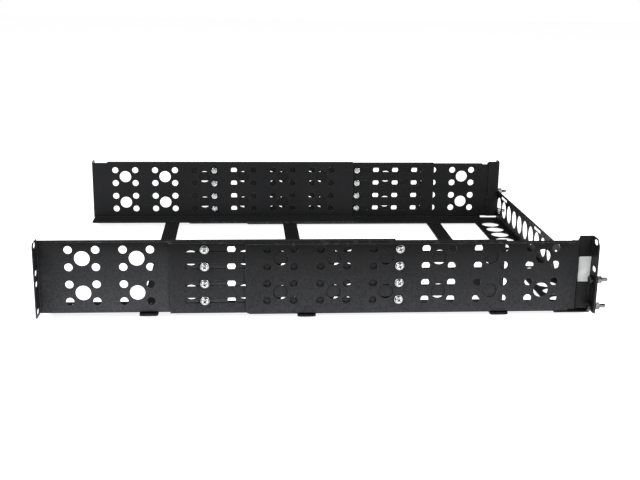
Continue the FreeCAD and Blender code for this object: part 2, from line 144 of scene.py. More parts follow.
def buildCoatGrain():
    # the fine orange peel of a baked powder coat, with the odd larger grain and cloudy clumps in it
    group, start, end = newGroup("coatGrain", grainSettings["sizes"], ("Height", "Speckle", "Mottle"))
    where = objectPlace(group, (-900, 300))
    fineScale = scaleOf(group, start.outputs["Grain Size"], (-700, 0))
    peelScale = scaleOf(group, start.outputs["Peel Size"], (-700, -200))
    clumpScale = mathNode(group, "MULTIPLY", (peelScale, grainSettings["clumpsPerPeel"]), (-700, -450))
    fine = noiseAt(group, where, fineScale, 2, (-500, 200))
    peel = noiseAt(group, where, peelScale, 1, (-500, 0))
    clumps = noiseAt(group, where, clumpScale, 3, (-500, -450))
    grains = addNode(group, "ShaderNodeTexVoronoi", (-500, -200))
    join(group, where, grains.inputs["Vector"])
    join(group, fineScale, grains.inputs["Scale"])
    softPeel = mathNode(group, "MULTIPLY", (peel, grainSettings["peelShare"]), (-300, 0))
    height = mathNode(group, "ADD", (fine, softPeel), (-100, 100))
    speckle = remap(group, grains.outputs["Distance"], (0, grainSettings["speckReach"]), (-300, -200),
                    into=(1, 0))
    join(group, height, end.inputs["Height"])
    join(group, speckle, end.inputs["Speckle"])
    join(group, remap(group, clumps, grainSettings["clumpSpan"], (-300, -450)), end.inputs["Mottle"])
    return group


paintedShadeSettings = {"sizes": {"Reach": 0.006}, "span": (0.25, 0.85)}


def buildPaintedShade():
    # painted shade: how open a place is to the room, so laps, slots and the steel behind holes are painted
    # dark
    group, start, end = newGroup("crevice", paintedShadeSettings["sizes"], ("Open",))
    shade = addNode(group, "ShaderNodeAmbientOcclusion", (-500, 0), samples=8)
    join(group, start.outputs["Reach"], shade.inputs["Distance"])
    join(group, remap(group, shade.outputs["AO"], paintedShadeSettings["span"], (-200, 0)), end.inputs["Open"])
    return group


wearSettings = {
    "sizes": {"Width": 0.0008, "Break Size": 0.006},
    "edgeSpan": (0.995, 0.8), "gapSpan": (0.52, 0.66),
}


def buildEdgeWear():
    # thinner, brighter coat along bends and cut edges, broken up along its length
    group, start, end = newGroup("edgeWear", wearSettings["sizes"], ("Edge", "Worn"))
    rounded = addNode(group, "ShaderNodeBevel", (-650, 200), samples=6)
    join(group, start.outputs["Width"], rounded.inputs["Radius"])
    flat = addNode(group, "ShaderNodeNewGeometry", (-650, 0))
    agree = addNode(group, "ShaderNodeVectorMath", (-450, 100), operation="DOT_PRODUCT")
    join(group, rounded.outputs["Normal"], agree.inputs[0])
    join(group, flat.outputs["Normal"], agree.inputs[1])
    edge = remap(group, agree.outputs["Value"], wearSettings["edgeSpan"], (-250, 100))
    breakScale = scaleOf(group, start.outputs["Break Size"], (-700, -300))
    patches = noiseAt(group, objectPlace(group, (-900, -200)), breakScale, 4, (-450, -200))
    gaps = remap(group, patches, wearSettings["gapSpan"], (-250, -200))
    join(group, edge, end.inputs["Edge"])
    join(group, mathNode(group, "MULTIPLY", (edge, gaps), (0, 0), clamp=True), end.inputs["Worn"])
    return group


# each row: size input and its default, output, whether it is stretched, detail of the noise
handlingSettings = {
    "stretch": (0.35, 1, 1), "turn": (0, 0, 0),
    "rows": [("Patch Size", 0.05, "Patches", False, 2), ("Smear Size", 0.008, "Smears", True, 5)],
}
toolSettings = {
    "stretch": (0.12, 1, 1), "turn": (0.4, 0.9, 0.3),
    "rows": [("Scratch Size", 0.0006, "Scratches", True, 4), ("Stain Size", 0.004, "Stains", False, 3)],
}


def buildTwoNoises(name, settings):
    # broad, soft changes of sheen from handling, or short scratches and stains on plated steel
    rows = settings["rows"]
    group, start, end = newGroup(name, {row[0]: row[1] for row in rows}, [row[2] for row in rows])
    where = objectPlace(group, (-900, 200))
    long = stretched(group, where, (-700, 0), settings["stretch"], settings["turn"])
    for index, (size, default, output, isLong, detail) in enumerate(rows):
        high = 200 - 300 * index
        scale = scaleOf(group, start.outputs[size], (-500, high))
        noise = noiseAt(group, long if isLong else where, scale, detail, (-300, high))
        join(group, noise, end.inputs[output])
    return group


slideSettings = {
    "sizes": {"Line Size": 0.0012, "Amount": 0.5},
    "stretch": (0.012, 1, 1), "lineSpan": (0.64, 0.72), "patchScale": 30, "patchSpan": (0.5, 0.62),
}


def buildSlideMarks():
    # hairline rubs along the rails, where one section slides in the next
    group, start, end = newGroup("slideMarks", slideSettings["sizes"], ("Marks",))
    where = objectPlace(group, (-900, 200))
    long = stretched(group, where, (-700, 200), slideSettings["stretch"])
    scale = scaleOf(group, start.outputs["Line Size"], (-700, 0))
    lines = noiseAt(group, long, scale, 3, (-450, 200))
    thin = remap(group, lines, slideSettings["lineSpan"], (-250, 200))
    patches = noiseAt(group, where, slideSettings["patchScale"], 2, (-450, -100))
    gaps = remap(group, patches, slideSettings["patchSpan"], (-250, -100))
    marks = mathNode(group, "MULTIPLY", (thin, gaps), (0, 100))
    marks = mathNode(group, "MULTIPLY", (marks, start.outputs["Amount"]), (200, 100))
    join(group, marks, end.inputs["Marks"])
    return group


dustSettings = {
    "sizes": {"Cover": 0.5, "Fleck Size": 0.0015},
    "upSpan": (0.55, 1.0), "fleckSpan": (0.42, 0.7),
}


def buildDust():
    # a little dust on faces that look up
    group, start, end = newGroup("dust", dustSettings["sizes"], ("Dust",))
    facing = addNode(group, "ShaderNodeNewGeometry", (-900, 200))
    parts = addNode(group, "ShaderNodeSeparateXYZ", (-700, 200))
    join(group, facing.outputs["Normal"], parts.inputs["Vector"])
    upward = remap(group, parts.outputs["Z"], dustSettings["upSpan"], (-500, 200))
    scale = scaleOf(group, start.outputs["Fleck Size"], (-700, -200))
    flecks = noiseAt(group, objectPlace(group, (-900, -100)), scale, 6, (-500, -100))
    spots = remap(group, flecks, dustSettings["fleckSpan"], (-300, -100))
    amount = mathNode(group, "MULTIPLY", (spots, start.outputs["Cover"]), (-100, -100))
    join(group, mathNode(group, "MULTIPLY", (amount, upward), (100, 100)), end.inputs["Dust"])
    return group


floorLightSettings = {
    "sizes": {"Top": 0.088, "Bottom": 0.004, "Cover": 0.7},
    "outerSpan": (0.3, 0.9), "cloudScale": 22, "cloudSpan": (0.3, 0.7), "cloudRange": (0.85, 1.1),
}


def buildPaintedFloorLight():
    # painted light: outer faces of the rails are painted paler towards their bottom edge, standing in for
    # light thrown up from the floor
    group, start, end = newGroup("bloom", floorLightSettings["sizes"], ("Bloom",))
    where = objectPlace(group, (-900, 200))
    place = addNode(group, "ShaderNodeSeparateXYZ", (-700, 200))
    join(group, where, place.inputs["Vector"])
    facing = addNode(group, "ShaderNodeNewGeometry", (-900, -200))
    turned = addNode(group, "ShaderNodeSeparateXYZ", (-700, -200))
    join(group, facing.outputs["Normal"], turned.inputs["Vector"])
    side = mathNode(group, "SIGN", (place.outputs["Y"],), (-500, 0))
    outward = mathNode(group, "MULTIPLY", (side, turned.outputs["Y"]), (-300, 0))
    outer = remap(group, outward, floorLightSettings["outerSpan"], (-100, 0))
    low = remap(group, place.outputs["Z"], (start.outputs["Top"], start.outputs["Bottom"]), (-500, 300))
    cloudy = noiseAt(group, where, floorLightSettings["cloudScale"], 2, (-500, 600))
    uneven = remap(group, cloudy, floorLightSettings["cloudSpan"], (-300, 600), into=floorLightSettings["cloudRange"])
    amount = mathNode(group, "MULTIPLY", (low, uneven), (0, 300))
    amount = mathNode(group, "MULTIPLY", (amount, outer), (200, 200))
    amount = mathNode(group, "MULTIPLY", (amount, start.outputs["Cover"]), (400, 200))
    join(group, amount, end.inputs["Bloom"])
    return group


coatGrain = buildCoatGrain()
edgeWear = buildEdgeWear()
handling = buildTwoNoises("handling", handlingSettings)
slideMarks = buildSlideMarks()
dust = buildDust()
bloom = buildPaintedFloorLight()
crevice = buildPaintedShade()
toolMarks = buildTwoNoises("toolMarks", toolSettings)
print("shared effects built")


def newMaterial(name):
    material = bpy.data.materials.new(name)
    material.use_nodes = True
    tree = material.node_tree
    shader = tree.nodes["Principled BSDF"]
    shader.location = (700, 0)
    tree.nodes["Material Output"].location = (1000, 0)
    return material, tree, shader


def addBump(tree, shader, height, bump, place):
    strength, distance = bump
    node = addNode(tree, "ShaderNodeBump", place)
    node.inputs["Strength"].default_value = strength
    node.inputs["Distance"].default_value = distance
    join(tree, height, node.inputs["Height"])
    join(tree, node.outputs["Normal"], shader.inputs["Normal"])


# bump settings are strength and height in metres
coatLook = {
    "black": (0.0085, 0.0087, 0.0094),
    "paler": (0.0120, 0.0123, 0.0132),
    # painted shade for laps, slots and the steel seen through holes
    "crevice": (0.0012, 0.0012, 0.0013),
    # painted light from the floor on the lower part of outer faces
    "bloom": (0.060, 0.061, 0.065),
    "speckle": (0.030, 0.030, 0.032),
    "edge": (0.034, 0.034, 0.037),
    "worn": (0.13, 0.13, 0.135),
    "dust": (0.055, 0.054, 0.052),
    "dustCover": 0.2,
    "rough": (0.40, 0.52),
    "rubbedSmooth": 0.12,
    "specular": 0.12,
    "bump": (0.35, 0.00012),
    "bloomTop": 0.090,
    "mottle": 0.6,
}
deepLook = {
    **coatLook,
    "black": (0.0062, 0.0063, 0.0068),
    "paler": (0.0092, 0.0094, 0.0100),
    "bloomTop": 0.079,
}
smearSpan = (0.3, 0.7)


def makePowderCoat(name, rubbed, floorLightShare, look):
    material, tree, shader = newMaterial(name)
    grain = useGroup(tree, coatGrain, (-600, 300))
    wear = useGroup(tree, edgeWear, (-600, 100))
    sheen = useGroup(tree, handling, (-600, -100))
    marks = useGroup(tree, slideMarks, (-600, -300), Amount=rubbed)
    settled = useGroup(tree, dust, (-600, -500), Cover=look["dustCover"])
    paintedLightNode = useGroup(tree, bloom, (-600, -700), Cover=floorLightShare, Top=look["bloomTop"])
    paintedShadeNode = useGroup(tree, crevice, (-600, -900))
    mottle = mathNode(tree, "MULTIPLY", (grain.outputs["Mottle"], look["mottle"]), (-150, 500))
    tone = blendColours(tree, sheen.outputs["Patches"], look["black"], look["paler"], (-400, 300))
    layers = [
        (paintedLightNode.outputs["Bloom"], "bloom"), (grain.outputs["Speckle"], "speckle"), (mottle, "black"),
        (wear.outputs["Edge"], "edge"), (wear.outputs["Worn"], "worn"), (marks.outputs["Marks"], "worn"),
        (settled.outputs["Dust"], "dust"),
    ]
    for step, (mask, colour) in enumerate(layers):
        tone = blendColours(tree, mask, tone, look[colour], (-280 + 120 * step, 300))
    # painted shade: places shut in from the room are blended to the near-black shade colour
    tone = blendColours(tree, paintedShadeNode.outputs["Open"], look["crevice"], tone, (580, 300))
    join(tree, tone, shader.inputs["Base Color"])
    roughness = remap(tree, sheen.outputs["Smears"], smearSpan, (-300, -100), into=look["rough"])
    rub = mathNode(tree, "MULTIPLY", (marks.outputs["Marks"], look["rubbedSmooth"]), (-150, -300))
    join(tree, mathNode(tree, "SUBTRACT", (roughness, rub), (0, -100)), shader.inputs["Roughness"])
    shader.inputs["Specular IOR Level"].default_value = look["specular"]
    addBump(tree, shader, grain.outputs["Height"], look["bump"], (450, -300))
    return material


zincLook = {
    "bright": (0.66, 0.67, 0.68),
    "dull": (0.36, 0.37, 0.38),
    "dullSpan": (0.4, 0.68),
    "stain": (0.46, 0.43, 0.36),
    "stainSpan": (0.66, 0.8),
    "stainMost": 0.6,
    "edge": (0.78, 0.78, 0.78),
    "edgeWidth": 0.0003,
    # painted shade for threads and recesses
    "crevice": (0.02, 0.02, 0.021),
    "paintedShadeReach": 0.0013,
    # painted dark reflection on sides that turn away from the view
    "turned": (0.10, 0.10, 0.105),
    "turnedSpan": (0.45, 0.9),
    "turnedMost": 0.85,
    "scratchSpan": (0.35, 0.7),
    "rough": (0.22, 0.38),
    "metal": 1,
    "bump": (0.2, 0.00004),
}
nutLook = {
    **zincLook,
    "bright": (0.19, 0.193, 0.2),
    "dull": (0.09, 0.092, 0.096),
    "edge": (0.40, 0.40, 0.41),
}


def scratchSteel(tree, shader, marks, look):
    # sheen, metal and bump of plated or blackened steel
    roughness = remap(tree, marks.outputs["Scratches"], look["scratchSpan"], (0, -200), into=look["rough"])
    join(tree, roughness, shader.inputs["Roughness"])
    shader.inputs["Metallic"].default_value = look["metal"]
    addBump(tree, shader, marks.outputs["Scratches"], look["bump"], (400, -300))


def makeZinc(name, look):
    material, tree, shader = newMaterial(name)
    marks = useGroup(tree, toolMarks, (-600, 200))
    wear = useGroup(tree, edgeWear, (-600, 0), Width=look["edgeWidth"])
    dull = remap(tree, marks.outputs["Stains"], look["dullSpan"], (-400, 200))
    tone = blendColours(tree, dull, look["bright"], look["dull"], (-200, 200))
    stain = remap(tree, marks.outputs["Stains"], look["stainSpan"], (-200, 0), into=(0, look["stainMost"]))
    tone = blendColours(tree, stain, tone, look["stain"], (0, 200))
    tone = blendColours(tree, wear.outputs["Edge"], tone, look["edge"], (200, 200))
    # painted reflection and shade: sides that turn away from the view are painted with the dark of the
    # room, and threads and recesses are painted dark
    facing = addNode(tree, "ShaderNodeLayerWeight", (0, 500))
    facing.inputs["Blend"].default_value = 0.5
    turned = remap(tree, facing.outputs["Facing"], look["turnedSpan"], (200, 500),
                   into=(0, look["turnedMost"]))
    tone = blendColours(tree, turned, tone, look["turned"], (350, 200))
    paintedShadeNode = useGroup(tree, crevice, (200, 0), Reach=look["paintedShadeReach"])
    tone = blendColours(tree, paintedShadeNode.outputs["Open"], look["crevice"], tone, (500, 200))
    join(tree, tone, shader.inputs["Base Color"])
    scratchSteel(tree, shader, marks, look)
    return material


oxideLook = {
    "black": (0.03, 0.03, 0.032),
    "brown": (0.040, 0.037, 0.035),
    "bare": (0.3, 0.3, 0.3),
    "stainSize": 0.003,
    "edgeWidth": 0.0003,
    "scratchSpan": (0.3, 0.7),
    "rough": (0.16, 0.30),
    "metal": 0.85,
    "bump": (0.2, 0.00004),
}


def makeBlackOxide(name, look):
    material, tree, shader = newMaterial(name)
    marks = useGroup(tree, toolMarks, (-600, 200), **{"Stain Size": look["stainSize"]})
    wear = useGroup(tree, edgeWear, (-600, 0), Width=look["edgeWidth"])
    tone = blendColours(tree, marks.outputs["Stains"], look["black"], look["brown"], (-200, 200))
    tone = blendColours(tree, wear.outputs["Worn"], tone, look["bare"], (0, 200))
    join(tree, tone, shader.inputs["Base Color"])
    scratchSteel(tree, shader, marks, look)
    return material


paperLook = {
    "white": (0.88, 0.89, 0.89),
    "shaded": (0.81, 0.815, 0.81),
    "grain": {"Grain Size": 0.0003, "Peel Size": 0.002},
    "sheen": {"Patch Size": 0.012},
    "rough": (0.42, 0.55),
    "bump": (0.15, 0.00003),
}


def makeLabelPaper(name, look):
    material, tree, shader = newMaterial(name)
    grain = useGroup(tree, coatGrain, (-600, 200), **look["grain"])
    sheen = useGroup(tree, handling, (-600, -100), **look["sheen"])
    tone = blendColours(tree, sheen.outputs["Patches"], look["white"], look["shaded"], (-200, 200))
    join(tree, tone, shader.inputs["Base Color"])
    roughness = remap(tree, sheen.outputs["Smears"], smearSpan, (-200, -100), into=look["rough"])
    join(tree, roughness, shader.inputs["Roughness"])
    addBump(tree, shader, grain.outputs["Height"], look["bump"], (400, -300))
    return material


finishes = {
    # the third number is how much painted floor light the outer faces take
    "rearCoat": makePowderCoat("rearCoat", 0.12, 1.0, coatLook),
    "frontCoat": makePowderCoat("frontCoat", 0.12, 0.62, deepLook),
    "barCoat": makePowderCoat("barCoat", 0.0, 0.0, deepLook),
    "zinc": makeZinc("zincPlate", zincLook),
    "greyZinc": makeZinc("greyZincPlate", nutLook),
    "oxide": makeBlackOxide("blackOxide", oxideLook),
    "paper": makeLabelPaper("labelPaper", paperLook),
}
print("finishes made:", len(finishes))

# sheet metal keeps its solids and takes the coat
for name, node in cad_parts.items():
    if name.endswith("rear_section"):
        finish = finishes["rearCoat"]
    elif name.endswith(("front_section", "slide_plate")):
        finish = finishes["frontCoat"]
    elif name.endswith(("bracket", "bar")):
        finish = finishes["barCoat"]
    elif name.endswith("ear_washers"):
        finish = finishes["oxide"]
    else:
        finish = finishes["zinc"]
    for materialSlot in node.material_slots:
        materialSlot.material = finish


# every fastener is made once about its own Z axis, seat at Z = 0 and head above it, then copied
ringShape = {"around": 44, "weld": 1e-7}


def addObject(name, data):
    thing = bpy.data.objects.new(name, data)
    bpy.context.scene.collection.objects.link(thing)
    return thing


def smoothMesh(mesh, sharp):
    for face in mesh.polygons:
        face.use_smooth = True
    mesh.set_sharp_from_angle(angle=math.radians(sharp))


def meshFromBmesh(name, shape, sharp=35):
    mesh = bpy.data.meshes.new(name)
    bmesh.ops.recalc_face_normals(shape, faces=shape.faces)
    shape.to_mesh(mesh)
    shape.free()
    smoothMesh(mesh, sharp)
    return mesh


def bridge(shape, rings):
    # closed rings of equal length, joined by quads
    for lower, upper in zip(rings, rings[1:]):
        for step in range(len(lower)):
            following = (step + 1) % len(lower)
            shape.faces.new((lower[step], lower[following], upper[following], upper[step]))


def spin(shape, profile, segments):
    # profile: (radius, height) pairs from the bottom up; a radius of 0 closes the end
    rings = []
    for radius, height in profile:
        if radius == 0:
            rings.append([shape.verts.new((0, 0, height))])
            continue
        rings.append([shape.verts.new((radius * math.cos(turn), radius * math.sin(turn), height))
                      for turn in (2 * math.pi * step / segments for step in range(segments))])
    for lower, upper in zip(rings, rings[1:]):
        for step in range(segments):
            following = (step + 1) % segments
            corners = [lower[step % len(lower)], lower[following % len(lower)],
                       upper[following % len(upper)], upper[step % len(upper)]]
            corners = list(dict.fromkeys(corners))
            if len(corners) > 2:
                shape.faces.new(corners)


def spinRing(name, rows):
    # a profile that closes on itself, turned into a ring
    shape = bmesh.new()
    spin(shape, rows + rows[:1], ringShape["around"])
    bmesh.ops.remove_doubles(shape, verts=shape.verts, dist=ringShape["weld"])
    return meshFromBmesh(name, shape)


screwForms = {
    # head radius and height, shank radius, plain shank under the head, thread pitch, recess
    "lock": {"head": 0.0042, "high": 0.003, "shank": 0.0025, "plain": 0.0012,
             "pitch": 0.0008, "recess": "cross"},
    "ear": {"head": 0.0043, "high": 0.0022, "shank": 0.0025, "plain": 0.0022,
            "pitch": 0.0008, "recess": "hex"},
    "bar": {"head": 0.0035, "high": 0.0024, "shank": 0.002, "plain": 0.001,
            "pitch": 0.0007, "recess": "cross"},
}
# depth is a share of the pitch
thread = {"rowsPerTurn": 6, "around": 28, "depth": 0.55, "taper": 0.0006, "gap": 0.00002}


def threadRings(radius, pitch, low, high):
    # rows of radii that follow the thread's helix, run out over the taper at the tip
    depth = thread["depth"] * pitch
    rows = max(2, round((high - low) / pitch * thread["rowsPerTurn"]))
    for row in range(rows + 1):
        height = low + (high - low) * row / rows
        reach = radius - max(0.0, thread["taper"] - (height - low))
        ring = []
        for step in range(thread["around"]):
            phase = (height / pitch - step / thread["around"]) % 1
            crest = radius - depth * abs(2 * phase - 1)
            turn = 2 * math.pi * step / thread["around"]
            size = min(crest, reach)
            ring.append((size * math.cos(turn), size * math.sin(turn), height))
        yield ring


def addThread(shape, radius, pitch, low, high):
    rings = [[shape.verts.new(point) for point in ring] for ring in threadRings(radius, pitch, low, high)]
    bridge(shape, rings)
    for ring in (rings[0], rings[-1]):
        shape.faces.new(ring)


# reaches and widths are shares of the head's radius, depths are shares of the plain shank
recess = {
    "over": 1.1,
    "wingReach": 0.60, "wingWidth": 0.14, "wingDepth": 0.3, "footReach": 0.35, "footWidth": 0.7,
    "coreFoot": 0.16, "coreTop": 0.30, "coreDepth": 1.6,
    "hexCorner": 0.6, "hexDepth": 0.5, "hexPoint": 0.8,
}


def crossCutter(form):
    # two tapered wings and a pointed core
    head = form["head"]
    top = form["high"] * recess["over"]
    bottom = -form["plain"] * recess["wingDepth"]
    reach, width = head * recess["wingReach"], head * recess["wingWidth"]
    ends = ((top, 1.0, 1.0), (bottom, recess["footReach"], recess["footWidth"]))
    for quarter in (0, math.pi / 2):
        shape = bmesh.new()
        turn = Matrix.Rotation(quarter, 3, "Z")
        for height, share, thick in ends:
            for x in (-reach * share, reach * share):
                for y in (-width * thick, width * thick):
                    shape.verts.new(turn @ Vector((x, y, height)))
        bmesh.ops.convex_hull(shape, input=shape.verts)
        yield meshFromBmesh("wing", shape)
    shape = bmesh.new()
    spin(shape, [(0, bottom * recess["coreDepth"]), (head * recess["coreFoot"], bottom),
                 (head * recess["coreTop"], top), (0, top)], 16)
    yield meshFromBmesh("core", shape)


def hexCutter(form):
    shape = bmesh.new()
    corner, top = form["head"] * recess["hexCorner"], form["high"] * recess["over"]
    point, floor = -form["plain"] * recess["hexPoint"], -form["plain"] * recess["hexDepth"]
    spin(shape, [(0, point), (corner, floor), (corner, top), (0, top)], 6)
    yield meshFromBmesh("socket", shape)


def cutAway(mesh, cutters):
    # booleans taken one after another on a temporary object
    thing = addObject("cutting", mesh)
    tools = []
    for cutter in cutters:
        tool = addObject("cutter", cutter)
        tools.append(tool)
        step = thing.modifiers.new("cut", "BOOLEAN")
        step.operation = "DIFFERENCE"
        step.solver = "EXACT"
        step.object = tool
    view = bpy.context.evaluated_depsgraph_get()
    result = bpy.data.meshes.new_from_object(thing.evaluated_get(view), depsgraph=view)
    for item in tools + [thing]:
        bpy.data.objects.remove(item)
    return result


# crown numbers are shares of the head's height and radius
panShape = {
    "fillet": (0.0004, 0.00002), "relief": (0.0005, 0.0003), "seat": 0.97, "rimFoot": 0.00045,
    "crownFrom": 0.42, "crownFlat": 0.55, "crownSteps": 7, "around": 40,
}


def panHead(form):
    # a length of plain shank, a seat with a shallow relief, an upright rim and a rounded crown
    rim, high, shank = form["head"], form["high"], form["shank"]
    filletOut, filletUp = panShape["fillet"]
    reliefOut, reliefUp = panShape["relief"]
    crownFrom, crownFlat = panShape["crownFrom"], panShape["crownFlat"]
    profile = [(0, -form["plain"]), (shank, -form["plain"]), (shank, 0), (shank + filletOut, filletUp),
               (shank + reliefOut, reliefUp), (rim * panShape["seat"], reliefUp),
               (rim, panShape["rimFoot"]), (rim, high * crownFrom)]
    for step in range(1, panShape["crownSteps"] + 1):
        turn = math.pi / 2 * step / panShape["crownSteps"]
        profile.append((rim * (crownFlat + (1 - crownFlat) * math.cos(turn)),
                        high * (crownFrom + (1 - crownFrom) * math.sin(turn))))
    profile.append((0, high))
    shape = bmesh.new()
    spin(shape, profile, panShape["around"])
    head = meshFromBmesh("head", shape)
    cutters = crossCutter(form) if form["recess"] == "cross" else hexCutter(form)
    return cutAway(head, list(cutters))


def makeScrew(form, run):
    shape = bmesh.new()
    shape.from_mesh(panHead(form))
    addThread(shape, form["shank"], form["pitch"], -run, -form["plain"] - thread["gap"])
    return meshFromBmesh("screw", shape, 32)


# flats is half the width across them, facet a share of it
nutShape = {"flats": 0.004, "facet": 0.97, "chamfer": 30, "around": 48, "sharp": 25}


def makeNut(high, bore):
    # hexagon with its corners turned off on both faces
    flats, steps = nutShape["flats"], nutShape["around"]
    facet = flats * nutShape["facet"]
    slope = math.tan(math.radians(nutShape["chamfer"]))
    sixth = math.pi / 3
    shape = bmesh.new()
    rings = [[] for row in range(6)]
    for step in range(steps):
        turn = 2 * math.pi * step / steps
        side = (turn + sixth / 2) % sixth - sixth / 2
        wall = flats / math.cos(side)
        drop = max(0.0, wall - facet) * slope
        rows = [(bore, 0), (facet, 0), (wall, drop), (wall, high - drop), (facet, high), (bore, high)]
        for ring, (radius, height) in zip(rings, rows):
            ring.append(shape.verts.new((radius * math.cos(turn + sixth / 2),
                                         radius * math.sin(turn + sixth / 2), height)))
    bridge(shape, rings + rings[:1])
    return meshFromBmesh("nut", shape, nutShape["sharp"])


# bevels are shares of the thickness; slip keeps a washer or nut off the sheet that slides past it
washerShape = {"bevel": 0.22, "boreSlip": 0.0002, "slip": 0.00003}


def makeWasher(radius, thick, bore):
    bevel = thick * washerShape["bevel"]
    half = bevel * 0.5
    return spinRing("washer", [
        (bore, half), (bore + half, 0), (radius - bevel, 0), (radius, bevel),
        (radius, thick - bevel), (radius - bevel, thick), (bore + half, thick), (bore, thick - half)])


# gap and slant are angles
springShape = {"bevel": 0.14, "gap": 0.16, "slant": 0.22}


def makeSpringWasher(radius, thick, bore):
    # one flat turn with a slanted gap
    shape = bmesh.new()
    gap, steps = springShape["gap"], ringShape["around"]
    bevel = thick * springShape["bevel"]
    rows = [(bore, bevel), (bore + bevel, 0), (radius - bevel, 0), (radius, bevel),
            (radius, thick - bevel), (radius - bevel, thick), (bore + bevel, thick), (bore, thick - bevel)]
    rings = []
    for step in range(steps + 1):
        turn = gap + (2 * math.pi - 2 * gap) * step / steps
        lean = springShape["slant"] if step in (0, steps) else 0
        ring = []
        for reach, height in rows:
            angle = turn + lean * (height / thick - 0.5)
            ring.append(shape.verts.new((reach * math.cos(angle), reach * math.sin(angle), height)))
        rings.append(ring)
    bridge(shape, rings)
    for ring in (rings[0], rings[-1]):
        shape.faces.new(ring)
    return meshFromBmesh("springWasher", shape)


cup = {"inner": 0.0027, "outer": 0.0054, "high": 0.0046, "bevel": 0.0006, "mouth": 0.0005}


def makeCup():
    # black cup round the head of an ear screw, open to its socket
    inner, outer, high, bevel = cup["inner"], cup["outer"], cup["high"], cup["bevel"]
    return spinRing("cup", [
        (inner, 0), (outer, 0), (outer, high - bevel), (outer - bevel, high), (inner + bevel, high),
        (inner, high - cup["mouth"])])


def rowOfCentres(node, axis, count):
    # the middles of a row of round pieces, read from the row's box
    low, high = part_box(node)
    size = high - low
    along = max((index for index in range(3) if index != axis), key=lambda index: size[index])
    across = 3 - axis - along
    radius = size[across] / 2
    centres = []
    for step in range(count):
        centre = (low + high) / 2
        centre[along] = low[along] + radius + (size[along] - 2 * radius) * step / (count - 1)
        centres.append(centre)
    return centres


def placeCopies(name, mesh, centres, axis, seat, direction, turns, body, node, finish):
    # one object of several separate copies, standing for a node of the frame
    shape = bmesh.new()
    heading = Vector((0, 0, 1)).rotation_difference(direction).to_matrix().to_4x4()
    for centre, turn in zip(centres, turns):
        spot = centre.copy()
        spot[axis] = seat
        part = mesh.copy()
        part.transform(Matrix.Translation(spot) @ heading @ Matrix.Rotation(turn, 4, "Z"))
        shape.from_mesh(part)
        bpy.data.meshes.remove(part)
    whole = bpy.data.meshes.new(name)
    shape.to_mesh(whole)
    shape.free()
    smoothMesh(whole, 32)
    whole.materials.append(finishes[finish])
    piece = addObject(name, whole)
    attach(piece, body)
    if node:
        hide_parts(node)


random.seed(7)


def randomTurns(count):
    return [random.uniform(0, 2 * math.pi) for step in range(count)]


def thickness(node, axis):
    low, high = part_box(node)
    return high[axis] - low[axis]


def dressRow(node, mesh, centres, axis, outward, body, finish, turns):
    # set on the face of the node's box that the row is put on against
    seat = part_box(node)[0 if outward > 0 else 1][axis]
    direction = Vector([outward if index == axis else 0 for index in range(3)])
    title = "".join(word.capitalize() for word in node.split("_"))
    placeCopies(title[0].lower() + title[1:], mesh, centres, axis, seat, direction, turns,
                body, node, finish)


def dressSet(prefix, kind, axis, outward, count, body, washerFinish, nutFinish):
    # screws, washers and nuts of one row; outward points from the nuts to the heads
    form = screwForms[kind]
    washers, screws, nuts = (f"{prefix}_{part}" for part in ("washers", "screws", "nuts"))
    centres = rowOfCentres(washers, axis, count)
    bore = form["shank"] + washerShape["boreSlip"]
    slip = washerShape["slip"]
    run = thickness(screws, axis) - form["high"]
    screw = makeScrew(form, run)
    screw.transform(Matrix.Translation((0, 0, run)))
    dressRow(screws, screw, centres, axis, outward, body, "zinc", randomTurns(count))
    across = next(index for index in range(3) if index not in (axis, 2))
    washer = makeWasher(thickness(washers, across) / 2, thickness(washers, axis) - slip, bore)
    washer.transform(Matrix.Translation((0, 0, slip)))
    dressRow(washers, washer, centres, axis, outward, body, washerFinish, [0] * count)
    nut = makeNut(thickness(nuts, axis) - slip, form["shank"])
    dressRow(nuts, nut, centres, axis, outward, body, nutFinish, randomTurns(count))
    springs = prefix + "_spring_washers"
    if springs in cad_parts:
        spring = makeSpringWasher(thickness(springs, across) / 2, thickness(springs, axis), bore)
        dressRow(springs, spring, centres, axis, outward, body, nutFinish, randomTurns(count))


for side, outward in (("right", 1), ("left", -1)):
    dressSet(side + "_rear_lock", "lock", 1, outward, 4, "rear_frame", "zinc", "zinc")
    dressSet(side + "_front_lock", "lock", 1, outward, 4, "front_frame", "zinc", "zinc")
    dressSet(side + "_ear", "ear", 0, -1, 2, "front_frame", "oxide", "greyZinc")
    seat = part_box(side + "_ear_screws")[0].x + screwForms["ear"]["high"]
    placeCopies(side + "EarCups", makeCup(), rowOfCentres(side + "_ear_washers", 0, 2), 0, seat,
                Vector((-1, 0, 0)), [0, 0], "front_frame", None, "oxide")
print("lock and ear fasteners dressed")

for where, body in (("rear", "rear_frame"), ("middle", "front_frame"), ("front", "front_frame")):
    node = where + "_bar_screws"
    low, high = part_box(node)
    form = screwForms["bar"]
    seat = low.z + form["high"]
    mesh = makeScrew(form, high.z - seat)
    placeCopies("screws" + where.capitalize() + "Bar", mesh, rowOfCentres(node, 2, 2), 2, seat,
                Vector((0, 0, -1)), randomTurns(2), body, node, "zinc")
print("bar screws dressed")


label = {
    # side is from the middle of the rack to the ear's outer face
    "wide": 0.0147, "high": 0.0300, "thick": 0.00012, "corner": 0.0012, "glue": 0.00002,
    "side": 0.2226, "backFromFlange": 0.0157, "bottomFromEar": 0.0355, "tilt": -0.6,
    "columns": 14, "rows": 26, "looseFrom": 0.55, "looseLift": 0.0006,
}


